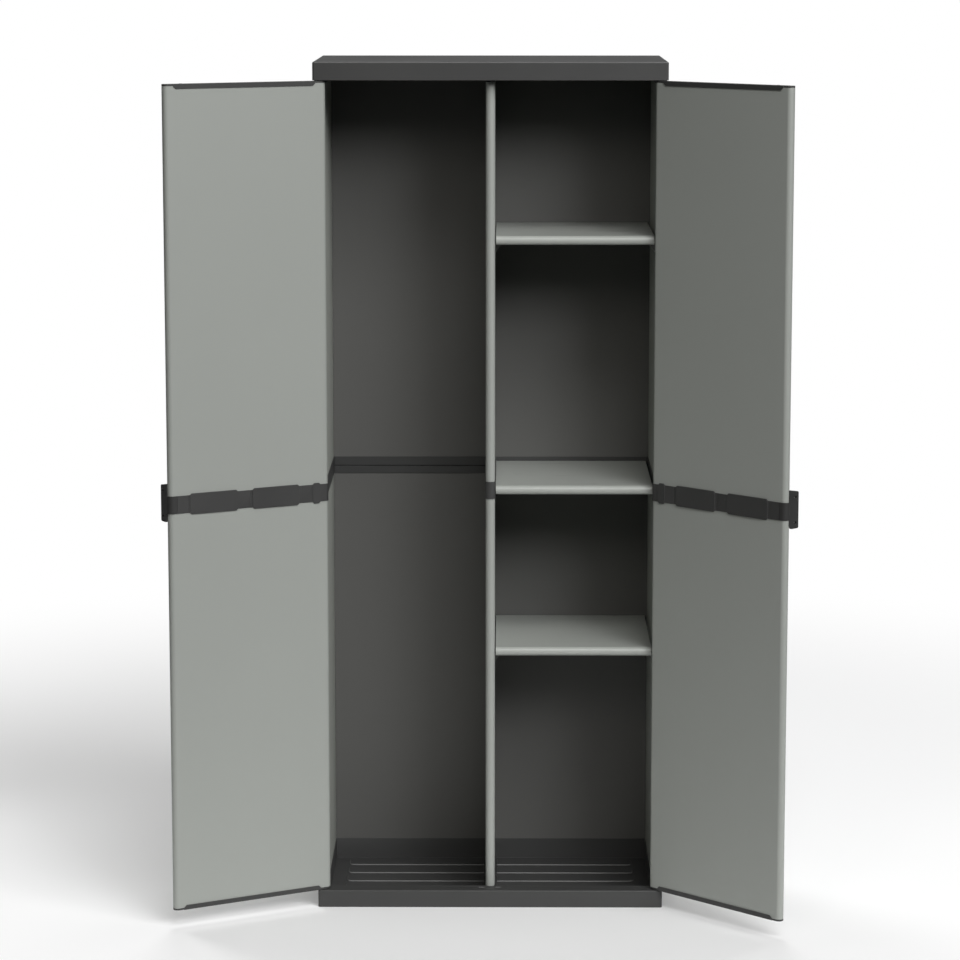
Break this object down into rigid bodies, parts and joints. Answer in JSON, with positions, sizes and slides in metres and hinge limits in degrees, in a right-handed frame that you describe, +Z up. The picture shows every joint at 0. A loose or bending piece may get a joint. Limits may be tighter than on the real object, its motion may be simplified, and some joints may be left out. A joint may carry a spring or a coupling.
{
  "type": "garden storage cabinet",
  "caption": "Tall outdoor cabinet with two hinged doors, an open bay and a shelved bay side by side, on a ribbed base tray under a flat cap.",
  "frame": {"origin": "centre of the base tray's underside, on the floor", "axes": "+Z up, +X to the right of someone facing the doors, +Y from the front to the back"},
  "size_m": [1.209, 0.601, 1.6615],
  "materials": {
    "moulded_frame": "fine moulded grain, satin dark grey",
    "side_board": "smooth extruded board, faint grain, light grey",
    "back_board": "smooth extruded board, faint grain, mid grey",
    "door_board": "smooth extruded board, faint grain, light grey",
    "divider_board": "smooth extruded board, light grey",
    "shelf_board": "smooth extruded board, light grey"
  },
  "bodies": {
    "carcass": {"base_tray": "moulded_frame", "top_cap": "moulded_frame", "left_side_joint": "moulded_frame", "right_side_joint": "moulded_frame", "back_joint": "moulded_frame", "divider_joint": "moulded_frame", "top_shelf_brackets": "moulded_frame", "bottom_shelf_brackets": "moulded_frame", "left_side_lower": "side_board", "left_side_upper": "side_board", "right_side_lower": "side_board", "right_side_upper": "side_board", "back_lower": "back_board", "back_upper": "back_board", "divider_lower": "divider_board", "divider_upper": "divider_board", "top_shelf": "shelf_board", "middle_shelf": "shelf_board", "bottom_shelf": "shelf_board"},
    "left_door": {"left_door_lower_board": "door_board", "left_door_upper_board": "door_board", "left_door_band": "moulded_frame", "left_door_lock_clip": "moulded_frame", "left_door_bottom_end": "moulded_frame", "left_door_top_end": "moulded_frame"},
    "right_door": {"right_door_lower_board": "door_board", "right_door_upper_board": "door_board", "right_door_band": "moulded_frame", "right_door_lock_clip": "moulded_frame", "right_door_bottom_end": "moulded_frame", "right_door_top_end": "moulded_frame"}
  },
  "joints": [
    {"name": "left_door_hinge", "type": "hinge", "parent": "carcass", "child": "left_door", "pos_m": [-0.328, -0.177, 0.83], "axis": [0, 0, -1], "range_deg": [-150.6, 29.4]},
    {"name": "right_door_hinge", "type": "hinge", "parent": "carcass", "child": "right_door", "pos_m": [0.328, -0.177, 0.83], "axis": [0, 0, 1], "range_deg": [-135.4, 44.6]}
  ]
}
